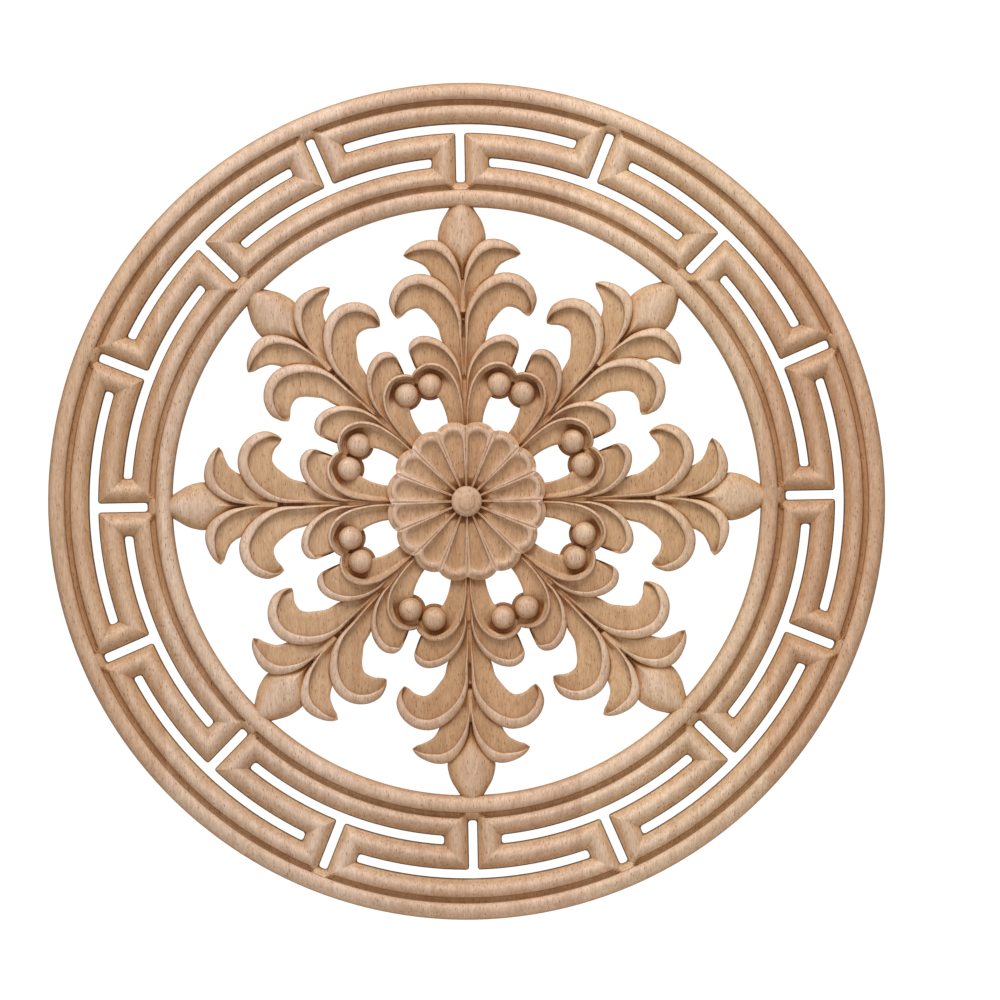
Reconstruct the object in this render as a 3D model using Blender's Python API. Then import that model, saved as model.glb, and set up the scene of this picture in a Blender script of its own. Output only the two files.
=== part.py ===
"""Openwork carved wooden medallion for a wall, door or ceiling.

The medallion is one piece of wood. A ring with a Greek key fret holds eight leaf sprays,
which grow from a sixteen petalled rosette. It is modelled standing, with its flat back on
the plane Y = 0, its front towards -Y and the centre of its back at the origin.

One half of one spray, from the spray's axis to the line midway to the next spray, is
modelled once. It is mirrored and turned eight times, and its sides are welded.
"""

import bpy
import bmesh
from math import asin, cos, hypot, pi, radians, sin
from mathutils import Matrix, Vector

# Lengths are in millimetres, and MM turns them into metres where a point is placed
MM = 0.001

# Whole disc
DISC_RADIUS = 150.0
DISC_THICKNESS = 15.0
SPRAYS = 8
HALF_STEP = pi / SPRAYS

# Fret ring, band widths from the rim inwards
OUTER_BEAD = 6.1
GROOVE = 1.6
OUTER_BAR = 7.1
SLOT = 3.1
KEY_BAR = 8.8
INNER_BAR = 6.8
INNER_BEAD = 6.6
GROOVE_OUT = DISC_RADIUS - OUTER_BEAD
BAR_OUT = GROOVE_OUT - GROOVE
SLOT_OUT = BAR_OUT - OUTER_BAR
KEY_OUT = SLOT_OUT - SLOT
KEY_IN = KEY_OUT - KEY_BAR
SLOT_IN = KEY_IN - SLOT
BAR_IN = SLOT_IN - INNER_BAR
GROOVE_IN = BAR_IN - GROOVE
RING_INNER_RADIUS = GROOVE_IN - INNER_BEAD

# Radial slots of the key: half their width, the bar beside them, and the wood left at their end
SLOT_HALF = SLOT / 2
KEY_TURN = SLOT_HALF + KEY_BAR
SLOT_END_WOOD = 1.0

# Heights above the flat back
BEAD_TOP = 13.6
BEAD_SIDE = 12.2
GROOVE_FLOOR = 9.6
BAR_CREST = 13.2
BAR_EDGE = 10.2
LEAF_TIP = 10.4
LEAF_RIM = 12.6
LEAF_HOLLOW = 8.2
LEAF_EDGE = 9.0
BUD_RIDGE = 12.2
BUD_SIDE = 9.4
BALL_TOP = 12.6
SKIRT_TOP = 7.4
PETAL_RIM = 12.8
PETAL_FOOT = 11.8
PETAL_SHOULDER = 11.2
PETAL_HOLLOW = 9.4
ROSETTE_MOAT = 8.4
BOSS_SHOULDER = 13.4

# Leaves of the right half of a spray, from the top of the spray down to its foot. Each line
# is one station across the leaf: the rim side (x, z) and the lower edge (x, z).
TOP_LEAF = (
    (-0.2, 65.5, 1.0, 65.0),
    (-0.2, 80.0, 7.6, 79.6),
    (1.5, 86.0, 10.4, 81.8),
    (6.0, 92.2, 12.4, 83.7),
    (12.0, 94.0, 15.0, 85.8),
    (17.6, 91.9, 17.7, 87.1),
    (21.1, 88.6, 21.0, 88.5),
)
HOOK_LEAF = (
    (-0.2, 44.0, 1.0, 43.5),
    (-0.2, 58.5, 7.8, 58.4),
    (-0.1, 66.0, 9.3, 63.0),
    (3.4, 74.2, 11.3, 66.2),
    (8.0, 79.6, 13.6, 68.6),
    (14.6, 82.2, 16.0, 69.8),
    (21.0, 80.8, 18.4, 69.6),
    (25.3, 76.4, 20.4, 68.5),
    (26.3, 70.8, 21.8, 67.1),
    (23.7, 65.9, 23.5, 65.9),
)
LOW_LEAF = (
    (-0.2, 35.0, 0.8, 34.5),
    (-0.1, 44.5, 5.0, 43.7),
    (2.2, 50.4, 7.9, 46.2),
    (6.1, 55.9, 10.7, 47.6),
    (10.7, 58.9, 12.9, 48.2),
    (16.0, 59.4, 14.8, 48.2),
    (19.6, 56.6, 16.3, 48.0),
    (19.2, 53.0, 16.8, 47.4),
    (17.8, 48.4, 16.4, 46.4),
)
SCROLL_LEAF = (
    (-0.2, 23.6, 5.7, 23.6),
    (-0.2, 35.4, 7.9, 35.6),
    (2.4, 42.3, 9.7, 38.3),
    (5.4, 47.1, 11.3, 40.1),
    (9.3, 49.6, 12.5, 41.2),
    (13.3, 49.9, 14.0, 41.7),
    (17.5, 47.6, 16.2, 42.1),
    (19.6, 45.2, 18.6, 43.4),
)

# Width of a leaf's rim, and the most of a narrow leaf that the rim takes up
RIM_WIDTH = 2.5
SCROLL_RIM_WIDTH = 1.3
RIM_SHARE = 0.5

# Bud at the head of a spray: height above the disc's centre and half its width there
BUD = (
    (80.0, 0.5),
    (88.6, 6.0),
    (94.0, 8.6),
    (98.6, 7.2),
    (102.9, 5.1),
    (107.6, 3.6),
)

# Ball in the curl of the scroll leaf, on a round skirt that joins the next spray
BALL_X = 12.86
BALL_Z = 42.1
BALL_RADIUS = 3.9
SKIRT_RADIUS = 5.5

# Radii of the rosette, from its petals' ends to the step on its boss
PETAL_END = 28.7
PETAL_NOTCH = 27.0
PETAL_RIM_RADIUS = 26.7
PETAL_HOLLOW_END = 25.0
PETAL_ROOT = 7.6
MOAT_RADIUS = 6.6
BOSS_RADIUS = 5.5
BOSS_STEP = 3.0

# How finely curves are divided
RING_SEGMENTS = 2
BALL_SEGMENTS = 8
BALL_RINGS = 4

# How far pieces reach past the planes they are cut on, with a small step from one to the next
SPARE = 3.0
SPARE_STEP = 0.3

# Points this near are welded, faces this near to level are joined, and slivers are closed
WELD = 0.004 * MM
FLATTEN = radians(7.0)
SLIVER = 0.3 * MM


def place(x, z, height):
    """A point of the disc from its place in the front view and its height above the back."""
    return Vector((x, -height, z)) * MM


def blend(a, b, t):
    return a + (b - a) * t


def slab(columns, rows, surface, depth, open_cells=None):
    """A closed block whose front is a grid placed by surface(column, row), with a flat back."""
    shape = bmesh.new()
    bmesh.ops.create_grid(shape, x_segments=columns, y_segments=rows, size=1.0)
    for vert in shape.verts:
        column = round((vert.co.x + 1.0) / 2.0 * columns)
        row = round((vert.co.y + 1.0) / 2.0 * rows)
        vert.co = (column, row, 0.0)
    if open_cells:
        holes = [f for f in shape.faces if open_cells(*f.calc_center_median()[:2])]
        bmesh.ops.delete(shape, geom=holes, context="FACES")
    for vert in shape.verts:
        vert.co = surface(round(vert.co.x), round(vert.co.y))
    lifted = bmesh.ops.extrude_face_region(shape, geom=shape.faces[:], use_keep_orig=True)
    for item in lifted["geom"]:
        if isinstance(item, bmesh.types.BMVert):
            item.co.y = depth * MM
    bmesh.ops.remove_doubles(shape, verts=shape.verts[:], dist=WELD)
    bmesh.ops.recalc_face_normals(shape, faces=shape.faces[:])
    return shape


def to_object(name, shape):
    mesh = bpy.data.meshes.new(name)
    shape.to_mesh(mesh)
    shape.free()
    item = bpy.data.objects.new(name, mesh)
    bpy.context.scene.collection.objects.link(item)
    return item


def slot_gap(near_spray, near_midline, radius):
    """Distance to the nearest slot of the key, below zero inside one."""
    return min(
        max(radius - SLOT_OUT, KEY_OUT - radius, KEY_TURN - near_midline),
        max(radius - KEY_IN, SLOT_IN - radius, KEY_TURN - near_spray),
        max(near_spray - SLOT_HALF, BAR_IN + SLOT_END_WOOD - radius, radius - SLOT_OUT),
        max(near_midline - SLOT_HALF, radius - BAR_OUT + SLOT_END_WOOD, SLOT_IN - radius),
    )


def key_height(near_spray, near_midline, radius):
    """Height of the fret bars, a rounded ridge between slots that turns with a mitre."""
    gap = min(slot_gap(near_spray, near_midline, radius), BAR_OUT - radius, radius - BAR_IN)
    rise = sin(min(max(gap, 0.0) / (KEY_BAR / 2), 1.0) * pi / 2)
    return blend(BAR_EDGE, BAR_CREST, rise)


def fret_ring(depth):
    """Beads, grooves and key bars of the ring, with the slots left open."""
    turns = (-SPARE, 0.0, SLOT_HALF, SLOT_HALF + KEY_BAR / 2, KEY_TURN)
    columns = [("spray", offset) for offset in turns]
    columns += [("between", step / RING_SEGMENTS) for step in range(1, RING_SEGMENTS)]
    columns += [("midline", offset) for offset in reversed(turns)]
    rows = (
        (RING_INNER_RADIUS, BEAD_SIDE),
        (GROOVE_IN, BEAD_TOP),
        (GROOVE_IN + GROOVE / 2, GROOVE_FLOOR),
        (BAR_IN, None),
        (BAR_IN + INNER_BAR / 2, None),
        (SLOT_IN, None),
        (KEY_IN, None),
        (KEY_IN + KEY_BAR / 2, None),
        (KEY_OUT, None),
        (SLOT_OUT, None),
        (SLOT_OUT + OUTER_BAR / 2, None),
        (BAR_OUT, None),
        (GROOVE_OUT - GROOVE / 2, GROOVE_FLOOR),
        (GROOVE_OUT, BEAD_TOP),
        (DISC_RADIUS, BEAD_SIDE),
    )

    def angle_at(column, radius):
        side, amount = columns[column]
        if side == "spray":
            return asin(amount / radius)
        if side == "midline":
            return HALF_STEP - asin(amount / radius)
        turn = asin(KEY_TURN / radius)
        return blend(turn, HALF_STEP - turn, amount)

    def surface(column, row):
        radius, height = rows[row]
        side, amount = columns[column]
        beside_slot = side != "between" and amount <= SLOT_HALF
        if beside_slot and side == "spray" and radius == BAR_IN:
            radius += SLOT_END_WOOD
        if beside_slot and side == "midline" and radius == BAR_OUT:
            radius -= SLOT_END_WOOD
        angle = angle_at(column, radius)
        if height is None:
            height = key_height(radius * sin(angle), radius * sin(HALF_STEP - angle), radius)
        return place(radius * sin(angle), radius * cos(angle), height)

    def in_slot(column, row):
        radius = (rows[int(row)][0] + rows[int(row) + 1][0]) / 2
        angle = (angle_at(int(column), radius) + angle_at(int(column) + 1, radius)) / 2
        return slot_gap(radius * sin(angle), radius * sin(HALF_STEP - angle), radius) < 0.0

    return slab(len(columns) - 1, len(rows) - 1, surface, depth, in_slot)


def leaf(stations, rim_width, depth):
    """One leaf of a spray: a raised rim along its upper side and a hollow below it."""

    def surface(column, row):
        rim_x, rim_z, edge_x, edge_z = stations[column]
        width = max(hypot(edge_x - rim_x, edge_z - rim_z), 0.01)
        crest = min(rim_width / width, RIM_SHARE)
        across = (0.0, crest, 1.0)[row]
        tip = min(width / rim_width, 1.0)
        height = (
            blend(LEAF_TIP, LEAF_RIM, tip),
            blend(LEAF_TIP, LEAF_HOLLOW, tip),
            blend(LEAF_TIP, LEAF_EDGE, tip),
        )[row]
        return place(blend(rim_x, edge_x, across), blend(rim_z, edge_z, across), height)

    return slab(len(stations) - 1, 2, surface, depth)


def bud(depth):
    """Pointed bud with a soft middle ridge, which joins the spray to the ring."""

    def surface(column, row):
        z, half = BUD[row]
        across = column - 1.0
        return place(half * across, z, BUD_SIDE if across else BUD_RIDGE)

    return slab(2, len(BUD) - 1, surface, depth)


def ball():
    """Half round knob in the curl of the scroll leaf."""
    shape = bmesh.new()
    bmesh.ops.create_uvsphere(shape, u_segments=BALL_SEGMENTS, v_segments=BALL_RINGS,
                              radius=BALL_RADIUS * MM)
    facing = Matrix.Rotation(pi / 2, 3, "X")
    bmesh.ops.rotate(shape, verts=shape.verts[:], cent=(0, 0, 0), matrix=facing)
    centre = place(BALL_X, BALL_Z, BALL_TOP - BALL_RADIUS)
    bmesh.ops.translate(shape, vec=centre, verts=shape.verts[:])
    return shape


def skirt(depth):
    """Low round base of the ball, which touches the one of the next spray."""
    shape = bmesh.new()
    length = SKIRT_TOP + depth
    bmesh.ops.create_cone(shape, cap_ends=True, segments=BALL_SEGMENTS, depth=length * MM,
                          radius1=SKIRT_RADIUS * MM, radius2=SKIRT_RADIUS * MM)
    facing = Matrix.Rotation(pi / 2, 3, "X")
    bmesh.ops.rotate(shape, verts=shape.verts[:], cent=(0, 0, 0), matrix=facing)
    centre = place(BALL_X, BALL_Z, SKIRT_TOP - length / 2)
    bmesh.ops.translate(shape, vec=centre, verts=shape.verts[:])
    return shape


def rosette(depth):
    """One petal of the rosette with its share of the boss, and the halves beside it."""
    rows = (
        (0.0, DISC_THICKNESS, DISC_THICKNESS),
        (BOSS_STEP, DISC_THICKNESS, DISC_THICKNESS),
        (BOSS_RADIUS, BOSS_SHOULDER, BOSS_SHOULDER),
        (MOAT_RADIUS, ROSETTE_MOAT, ROSETTE_MOAT),
        (PETAL_ROOT, PETAL_FOOT, PETAL_HOLLOW),
        (PETAL_HOLLOW_END, PETAL_RIM, PETAL_HOLLOW),
        (PETAL_RIM_RADIUS, PETAL_RIM, PETAL_RIM),
        (PETAL_END, PETAL_HOLLOW, PETAL_SHOULDER),
    )

    def surface(column, row):
        radius, border_height, centre_height = rows[row]
        on_border = column % 2 == 1
        if on_border and radius == PETAL_END:
            radius = PETAL_NOTCH
        angle = HALF_STEP / 2 * (column - 1)
        height = border_height if on_border else centre_height
        return place(radius * sin(angle), radius * cos(angle), height)

    return slab(4, len(rows) - 1, surface, depth)


def half_spray():
    """The basic tile, one closed solid that reaches a little past both cutting planes."""
    depths = [SPARE + SPARE_STEP * step for step in range(8)]
    shapes = [
        fret_ring(depths[0]),
        bud(depths[1]),
        leaf(TOP_LEAF, RIM_WIDTH, depths[2]),
        leaf(HOOK_LEAF, RIM_WIDTH, depths[3]),
        leaf(LOW_LEAF, RIM_WIDTH, depths[4]),
        leaf(SCROLL_LEAF, SCROLL_RIM_WIDTH, depths[5]),
        skirt(depths[6]),
        ball(),
        rosette(depths[7]),
    ]
    pieces = [to_object("tile_%d" % index, shape) for index, shape in enumerate(shapes)]
    body = pieces[0]
    for piece in pieces[1:]:
        join = body.modifiers.new("Join", "BOOLEAN")
        join.operation = "UNION"
        join.solver = "EXACT"
        join.object = piece
    view = bpy.context.evaluated_depsgraph_get()
    tile = bmesh.new()
    tile.from_mesh(body.evaluated_get(view).to_mesh())
    for piece in pieces:
        bpy.data.objects.remove(piece)
    return tile


def cut_flat(shape, normal):
    """Remove what lies past a plane through the origin and leave that side open."""
    everything = shape.verts[:] + shape.edges[:] + shape.faces[:]
    bmesh.ops.bisect_plane(shape, geom=everything, dist=WELD, plane_co=(0, 0, 0),
                           plane_no=normal, clear_outer=True)


def carved_medallion():
    """The whole disc: the tile given a flat back, mirrored, turned and welded."""
    tile = half_spray()
    cut_flat(tile, (0, 1, 0))
    back = [edge for edge in tile.edges if edge.is_boundary]
    bmesh.ops.triangle_fill(tile, edges=back, use_beauty=True, normal=(0, 1, 0))
    cut_flat(tile, (-1, 0, 0))
    cut_flat(tile, (cos(HALF_STEP), 0, -sin(HALF_STEP)))
    bmesh.ops.dissolve_limit(tile, angle_limit=FLATTEN, verts=tile.verts[:], edges=tile.edges[:])
    bmesh.ops.triangulate(tile, faces=tile.faces[:])
    inner = [edge for edge in tile.edges if not any(vert.is_boundary for vert in edge.verts)]
    bmesh.ops.dissolve_degenerate(tile, edges=inner, dist=SLIVER)

    bmesh.ops.mirror(tile, geom=tile.verts[:] + tile.edges[:] + tile.faces[:], axis="X",
                     matrix=Matrix.Identity(4), merge_dist=WELD)
    bmesh.ops.recalc_face_normals(tile, faces=tile.faces[:])
    bmesh.ops.spin(tile, geom=tile.verts[:] + tile.edges[:] + tile.faces[:], cent=(0, 0, 0),
                   axis=(0, 1, 0), angle=2 * pi * (SPRAYS - 1) / SPRAYS, steps=SPRAYS - 1,
                   use_duplicate=True)
    bmesh.ops.remove_doubles(tile, verts=tile.verts[:], dist=WELD)
    bmesh.ops.dissolve_degenerate(tile, edges=tile.edges[:], dist=WELD)
    loose = [edge for edge in tile.edges if edge.is_wire]
    bmesh.ops.delete(tile, geom=loose, context="EDGES")
    bmesh.ops.triangulate(tile, faces=tile.faces[:])
    bmesh.ops.recalc_face_normals(tile, faces=tile.faces[:])
    return to_object("carved_medallion", tile)


def raw_beech():
    """Bare sanded hardwood, warm tan."""
    wood = bpy.data.materials.new("raw_beech")
    wood.use_nodes = True
    shader = wood.node_tree.nodes["Principled BSDF"]
    shader.inputs["Base Color"].default_value = (0.58, 0.38, 0.235, 1.0)
    shader.inputs["Roughness"].default_value = 0.7
    shader.inputs["Metallic"].default_value = 0.0
    return wood


for item in list(bpy.data.objects):
    bpy.data.objects.remove(item)

medallion = carved_medallion()
medallion.data.materials.append(raw_beech())
medallion.data.shade_smooth()
medallion.data.set_sharp_from_angle(angle=radians(35.0))
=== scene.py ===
from math import asin, cos, hypot, pi, radians, sin, sqrt

import bmesh
import bpy
from mathutils import Matrix, Vector
from mathutils.bvhtree import BVHTree


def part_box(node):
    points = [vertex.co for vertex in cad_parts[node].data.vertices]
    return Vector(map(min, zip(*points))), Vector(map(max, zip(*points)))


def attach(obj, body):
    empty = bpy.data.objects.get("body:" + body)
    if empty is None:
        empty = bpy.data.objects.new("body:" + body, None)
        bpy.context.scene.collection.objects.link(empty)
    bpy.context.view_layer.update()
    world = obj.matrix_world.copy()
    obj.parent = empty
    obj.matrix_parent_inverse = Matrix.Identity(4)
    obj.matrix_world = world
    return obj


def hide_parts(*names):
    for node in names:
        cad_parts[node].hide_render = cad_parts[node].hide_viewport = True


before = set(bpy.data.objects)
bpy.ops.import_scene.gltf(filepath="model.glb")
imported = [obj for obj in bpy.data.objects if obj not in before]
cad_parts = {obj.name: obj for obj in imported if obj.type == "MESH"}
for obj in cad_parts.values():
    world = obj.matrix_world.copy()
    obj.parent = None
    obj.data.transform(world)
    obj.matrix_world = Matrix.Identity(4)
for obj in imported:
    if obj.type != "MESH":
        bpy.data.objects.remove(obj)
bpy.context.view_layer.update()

# The board: a disc of hardwood, planed flat on its back at Y = 0 and carved on the side that
# faces -Y. Its size is the frame's. A tile with half a spray and the ring beyond it is built
# once and repeated. Lengths are in millimetres unless said, and MM turns them into metres.
MM = 0.001
board_low, board_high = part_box("carved_medallion")
DISC_RADIUS = (board_high.x - board_low.x) / 2 / MM
DISC_THICKNESS = (board_high.y - board_low.y) / MM
SPRAYS = 8
HALF_STEP = pi / SPRAYS
# The shapes of the tile run SPARE past its sides and past the back, where they are cut off.
# Each runs a SPARE_STEP further back than the one before, so no two end in the same plane.
SPARE = 3.0
SPARE_STEP = 0.3
WELD = 0.004 * MM


def place(x, z, height):
    """A point of the carving from its place in the front view and its height above the back."""
    return Vector((x, -height, z)) * MM


def blend(a, b, t):
    return a + (b - a) * t


def fade(value, start, end):
    """0 before start, 1 past end, and a smooth rise between them."""
    t = min(max((value - start) / (end - start), 0.0), 1.0)
    return t * t * (3.0 - 2.0 * t)


def dome(across):
    """Height of a half round, from 0 at its sides to 1 in the middle, for across from 0 to 1."""
    return sqrt(max(1.0 - (2.0 * across - 1.0) ** 2, 0.0))


def past_back(order):
    """How far past the back the tile's shape of this order runs."""
    return SPARE + SPARE_STEP * order


def slab(columns, rows, surface, depth, open_cells=None):
    """A closed block whose front is a grid placed by surface(column, row), with a flat back.

    It runs depth past the board's back. Grid cells for which open_cells is true are left out.
    """
    shape = bmesh.new()
    bmesh.ops.create_grid(shape, x_segments=columns, y_segments=rows, size=1.0)
    for vert in shape.verts:
        column = round((vert.co.x + 1.0) / 2.0 * columns)
        row = round((vert.co.y + 1.0) / 2.0 * rows)
        vert.co = (column, row, 0.0)
    if open_cells:
        holes = [f for f in shape.faces if open_cells(*f.calc_center_median()[:2])]
        bmesh.ops.delete(shape, geom=holes, context="FACES")
    for vert in shape.verts:
        vert.co = surface(round(vert.co.x), round(vert.co.y))
    bmesh.ops.remove_doubles(shape, verts=shape.verts[:], dist=WELD)
    lifted = bmesh.ops.extrude_face_region(shape, geom=shape.faces[:], use_keep_orig=True)
    for item in lifted["geom"]:
        if isinstance(item, bmesh.types.BMVert):
            item.co.y = depth * MM
    bmesh.ops.recalc_face_normals(shape, faces=shape.faces[:])
    return shape


tile_shapes = []

# The fret ring: two plain round beads with a Greek key between them. The key's bars are cut
# with a round-over bit, so each is a soft ridge, and they meet in mitres at the turns. The
# slots between them are routed right through with a 3 mm bit.
OUTER_BEAD = 6.1
GROOVE = 1.6
OUTER_BAR = 7.1
SLOT = 3.1
KEY_BAR = 8.8
INNER_BAR = 6.8
INNER_BEAD = 6.4
GROOVE_OUT = DISC_RADIUS - OUTER_BEAD
BAR_OUT = GROOVE_OUT - GROOVE
SLOT_OUT = BAR_OUT - OUTER_BAR
KEY_OUT = SLOT_OUT - SLOT
KEY_IN = KEY_OUT - KEY_BAR
SLOT_IN = KEY_IN - SLOT
BAR_IN = SLOT_IN - INNER_BAR
GROOVE_IN = BAR_IN - GROOVE
RING_INNER_RADIUS = GROOVE_IN - INNER_BEAD
SLOT_HALF = SLOT / 2
KEY_TURN = SLOT_HALF + KEY_BAR
SLOT_END_WOOD = 1.0
CORNER_ROUND = 1.0
SLOPE = KEY_BAR / 2
GROOVE_SLOPE = 2.5
BEAD_TOP = 13.7
BEAD_SIDE = 9.6
BEAD_CREST = 0.62
GROOVE_FLOOR = 10.5
GROOVE_SIDE = 10.7
BAR_CREST = 13.3
BAR_EDGE = 8.4
EDGE_STEP = 0.42
EDGE_SHARE = 0.1
CREST_ROUND = 0.35
PLAIN_HALF = (2.2, 4.8)
BAR_STEPS = (0.0, 0.42, 1.0, 1.9, 2.8, 3.5, 4.0)
GROOVE_STEPS = (0.0, 0.42, 1.0, 1.42, 2.0)
CORNER_STEPS = (0.42, 1.0)
BEAD_STEPS = (0.0, 0.06, 0.15, 0.3, 0.46, 0.62, 0.76, 0.88, 0.96, 1.0)
BETWEEN_TURNS = 8
# The corners of the slots: the line a corner's distance is measured from, that distance and the
# side of it that is rounded, then its radius and the side of that which is rounded.
SLOT_CORNERS = (
    ("spray", SLOT_HALF, -1, BAR_IN + SLOT_END_WOOD, 1),
    ("spray", SLOT_HALF, 1, KEY_OUT, -1),
    ("spray", KEY_TURN, 1, SLOT_IN, 1),
    ("spray", KEY_TURN, 1, KEY_IN, -1),
    ("midline", SLOT_HALF, -1, BAR_OUT - SLOT_END_WOOD, -1),
    ("midline", SLOT_HALF, 1, KEY_IN, 1),
    ("midline", KEY_TURN, 1, KEY_OUT, 1),
    ("midline", KEY_TURN, 1, SLOT_OUT, -1),
)


def slope_rise(distance, width):
    """Rise of a bar's side from 0 at its edge to 1: a steep lip, a slope and a round crest."""
    share = min(max(distance, 0.0) / width, 1.0)
    below_crest = hypot(1.0 - share, CREST_ROUND) - CREST_ROUND
    whole_side = hypot(1.0, CREST_ROUND) - CREST_ROUND
    roof = 1.0 - below_crest / whole_side
    return blend(roof, 1.0, EDGE_STEP * fade(share, 0.0, EDGE_SHARE))


def bead_rise(across, crest):
    """Rise across a round bead, from 0 at its free edge over its crest to 0 at its other side."""
    if across < crest:
        return dome(0.5 * across / crest)
    return dome(0.5 + 0.5 * (across - crest) / (1.0 - crest))


def turn_corner(side, amount, radius):
    """A point near a square corner of a slot, moved so that the corner is round."""
    for corner_side, corner_amount, across, corner_radius, outward in SLOT_CORNERS:
        a = 1.0 - (amount - corner_amount) * across / CORNER_ROUND
        b = 1.0 - (radius - corner_radius) * outward / CORNER_ROUND
        if side == corner_side and 0.0 < a < 1.01 and 0.0 < b < 1.01:
            a, b = a * sqrt(1.0 - b * b / 2), b * sqrt(1.0 - a * a / 2)
            amount = corner_amount + across * (1.0 - a) * CORNER_ROUND
            radius = corner_radius + outward * (1.0 - b) * CORNER_ROUND
            return amount, radius
    return amount, radius


def slot_gap(near_spray, near_midline, radius):
    """Distance to the nearest slot of the key, below zero inside one."""
    return min(
        max(radius - SLOT_OUT, KEY_OUT - radius, KEY_TURN - near_midline),
        max(radius - KEY_IN, SLOT_IN - radius, KEY_TURN - near_spray),
        max(near_spray - SLOT_HALF, BAR_IN + SLOT_END_WOOD - radius, radius - SLOT_OUT),
        max(near_midline - SLOT_HALF, radius - BAR_OUT + SLOT_END_WOOD, SLOT_IN - radius),
    )


def plain_share(distance):
    """1 beside the end of a radial slot, where the groove fades out, and 0 away from it."""
    return 1.0 - fade(distance, *PLAIN_HALF)


def key_height(near_spray, near_midline, radius):
    """Height of the fret bars, a soft ridge between slots that turns with a mitre."""
    slot_side = slope_rise(slot_gap(near_spray, near_midline, radius), SLOPE)
    inner_side = radius - BAR_IN + GROOVE_SLOPE * plain_share(near_spray)
    outer_side = BAR_OUT - radius + GROOVE_SLOPE * plain_share(near_midline)
    groove_side = slope_rise(min(inner_side, outer_side), GROOVE_SLOPE)
    return min(blend(BAR_EDGE, BAR_CREST, slot_side), blend(GROOVE_SIDE, BAR_CREST, groove_side))


def ring_rows():
    """Radius and kind of every row of the ring, from its inner edge out."""
    slot_side = list(BAR_STEPS) + [SLOPE]
    both_ways = slot_side + [KEY_BAR - step for step in reversed(BAR_STEPS)]
    in_slot = list(CORNER_STEPS) + [SLOT - step for step in reversed(CORNER_STEPS)]
    rows = [(RING_INNER_RADIUS + share * INNER_BEAD, "inner bead") for share in BEAD_STEPS]
    rows += [(GROOVE_IN + GROOVE / 2, "groove")]
    rows += [(BAR_IN + step, "key") for step in GROOVE_STEPS]
    rows += [(SLOT_IN - step, "key") for step in reversed(slot_side)]
    rows += [(SLOT_IN + step, "key") for step in in_slot]
    rows += [(KEY_IN + step, "key") for step in both_ways]
    rows += [(KEY_OUT + step, "key") for step in in_slot]
    rows += [(SLOT_OUT + step, "key") for step in slot_side]
    rows += [(BAR_OUT - step, "key") for step in reversed(GROOVE_STEPS)]
    rows += [(GROOVE_OUT - GROOVE / 2, "groove")]
    rows += [(DISC_RADIUS - share * OUTER_BEAD, "outer bead") for share in reversed(BEAD_STEPS)]
    return rows


def ring_columns():
    """Places round the ring, by their distance from the spray's axis or from the midline."""
    beside = [-SPARE, 0.0] + [SLOT_HALF - step for step in reversed(CORNER_STEPS)]
    beside += [SLOT_HALF + step for step in BAR_STEPS] + [SLOT_HALF + SLOPE]
    beside += [KEY_TURN - step for step in reversed(BAR_STEPS)]
    beside += [KEY_TURN + step for step in CORNER_STEPS]
    columns = [("spray", offset) for offset in beside]
    columns += [("between", step / BETWEEN_TURNS) for step in range(1, BETWEEN_TURNS)]
    columns += [("midline", offset) for offset in reversed(beside)]
    return columns


def fret_ring(depth):
    """Beads, grooves and key bars of the ring, with the slots left open."""
    rows = ring_rows()
    columns = ring_columns()

    def angle_at(side, amount, radius):
        if side == "spray":
            return asin(amount / radius)
        if side == "midline":
            return HALF_STEP - asin(amount / radius)
        turn = asin((KEY_TURN + CORNER_ROUND) / radius)
        return blend(turn, HALF_STEP - turn, amount)

    def height_at(kind, near_spray, near_midline, radius):
        key = key_height(near_spray, near_midline, radius)
        if kind == "key":
            return key
        plain = plain_share(near_spray if radius < KEY_IN else near_midline)
        if kind == "groove":
            return blend(GROOVE_FLOOR, key, plain)
        if kind == "inner bead":
            across = (radius - RING_INNER_RADIUS) / INNER_BEAD
        else:
            across = (DISC_RADIUS - radius) / OUTER_BEAD
        if across < BEAD_CREST:
            return blend(BEAD_SIDE, BEAD_TOP, bead_rise(across, BEAD_CREST))
        return max(blend(GROOVE_SIDE, BEAD_TOP, bead_rise(across, BEAD_CREST)), key * plain)

    def surface(column, row):
        radius, kind = rows[row]
        side, amount = columns[column]
        angle = angle_at(side, amount, radius)
        height = height_at(kind, radius * sin(angle), radius * sin(HALF_STEP - angle), radius)
        amount, radius = turn_corner(side, amount, radius)
        angle = angle_at(side, amount, radius)
        return place(radius * sin(angle), radius * cos(angle), height)

    def in_slot(column, row):
        radius = (rows[int(row)][0] + rows[int(row) + 1][0]) / 2
        start = angle_at(*columns[int(column)], radius)
        end = angle_at(*columns[int(column) + 1], radius)
        angle = (start + end) / 2
        return slot_gap(radius * sin(angle), radius * sin(HALF_STEP - angle), radius) < 0.0

    return slab(len(columns) - 1, len(rows) - 1, surface, depth, in_slot)


tile_shapes.append(fret_ring(past_back(0)))

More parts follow.
